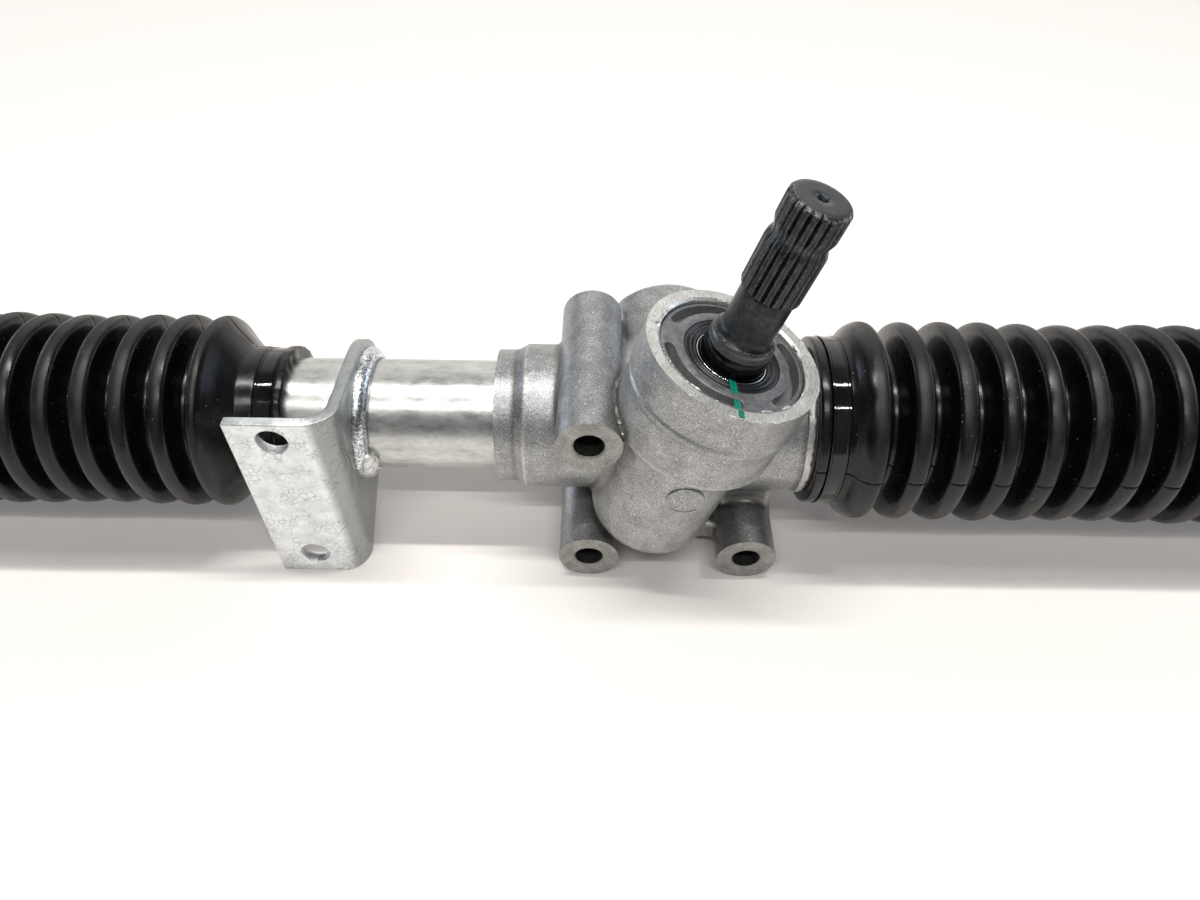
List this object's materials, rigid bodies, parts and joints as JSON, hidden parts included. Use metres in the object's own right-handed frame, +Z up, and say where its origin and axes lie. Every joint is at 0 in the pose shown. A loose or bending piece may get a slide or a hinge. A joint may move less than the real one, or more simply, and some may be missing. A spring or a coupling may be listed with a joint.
{
  "type": "steering rack",
  "caption": "Manual rack-and-pinion steering rack: cast pinion housing with bolt bosses, splined input shaft, bracketed rack tube, and a boot-covered tie rod at each end.",
  "frame": {"origin": "midway between the axes of the two lower bolt holes of the housing, straight below the rack's axis", "axes": "+X along the rack towards the end beside the pinion housing, +Y away from the mounting faces and along the bolt holes, +Z up, from the lower bolt holes towards the pinion shaft's spline"},
  "size_m": [0.6294, 0.0782, 0.1283],
  "materials": {
    "cast_aluminium": "as cast, blasted",
    "tube_steel": "zinc plated",
    "plate_steel": "zinc plated, scuffed",
    "weld_steel": "welded, plated over",
    "bearing_steel": "ground",
    "machined_steel": "machined",
    "nut_steel": "phosphated",
    "black_steel": "black oxide",
    "boot_rubber": "satin",
    "seal_rubber": "satin",
    "tie_nylon": "glossy",
    "bearing_plastic": "natural",
    "yoke_alloy": "machined"
  },
  "bodies": {
    "housing_unit": {"housing": "cast_aluminium", "rack_tube": "tube_steel", "rack_bush": "bearing_plastic", "bracket": "plate_steel", "bracket_weld": "weld_steel", "bearing_outer_ring": "bearing_steel", "pinion_nut": "nut_steel", "pinion_seal": "seal_rubber", "pinion_bush": "bearing_steel", "support_yoke": "yoke_alloy", "yoke_o_ring": "seal_rubber", "yoke_spring": "machined_steel", "yoke_plug": "machined_steel", "boot_left": "boot_rubber", "boot_right": "boot_rubber", "boot_tie_left": "tie_nylon", "boot_tie_right": "tie_nylon"},
    "rack": {"rack_bar": "machined_steel", "lock_washer_left": "machined_steel", "ball_socket_left": "machined_steel", "lock_washer_right": "machined_steel", "ball_socket_right": "machined_steel"},
    "pinion": {"pinion_shaft": "black_steel", "bearing_inner_ring": "bearing_steel", "pinion_circlip": "nut_steel"},
    "ball_set": {"bearing_balls": "bearing_steel", "bearing_cage": "bearing_steel"},
    "seat_left": {"ball_seat_left": "bearing_plastic"},
    "rod_left": {"tie_rod_left": "black_steel", "jam_nut_left": "plate_steel", "rod_tie_left": "tie_nylon"},
    "seat_right": {"ball_seat_right": "bearing_plastic"},
    "rod_right": {"tie_rod_right": "black_steel", "jam_nut_right": "plate_steel", "rod_tie_right": "tie_nylon"}
  },
  "joints": [
    {"name": "rack_slide", "type": "slide", "parent": "housing_unit", "child": "rack", "axis": [1, 0, 0], "range_m": [-0.07, 0.047], "deforming": ["boot_left", "boot_right"]},
    {"name": "pinion_turn", "type": "hinge", "parent": "housing_unit", "child": "pinion", "pos_m": [0, -0.01654, 0.032], "axis": [0.2924, 0, 0.9563], "range_deg": [-300.2, 446.6]},
    {"name": "ball_set_turn", "type": "hinge", "parent": "housing_unit", "child": "ball_set", "pos_m": [0, -0.01654, 0.032], "axis": [0.2924, 0, 0.9563], "range_deg": [-115.2, 171]},
    {"name": "rod_left_swing", "type": "hinge", "parent": "rack", "child": "seat_left", "pos_m": [-0.1903, 0, 0.032], "axis": [0, 0, 1], "range_deg": [-18, 18]},
    {"name": "rod_left_tilt", "type": "hinge", "parent": "seat_left", "child": "rod_left", "pos_m": [-0.1903, 0, 0.032], "axis": [0, 1, 0], "range_deg": [-18, 18]},
    {"name": "rod_right_swing", "type": "hinge", "parent": "rack", "child": "seat_right", "pos_m": [0.1431, 0, 0.032], "axis": [0, 0, 1], "range_deg": [-18, 18]},
    {"name": "rod_right_tilt", "type": "hinge", "parent": "seat_right", "child": "rod_right", "pos_m": [0.1431, 0, 0.032], "axis": [0, 1, 0], "range_deg": [-18, 18]}
  ],
  "couplings": [
    {"joint": "pinion_turn", "follows": "rack_slide", "rad_per_m": -111.11},
    {"joint": "ball_set_turn", "follows": "rack_slide", "rad_per_m": -42.398}
  ]
}
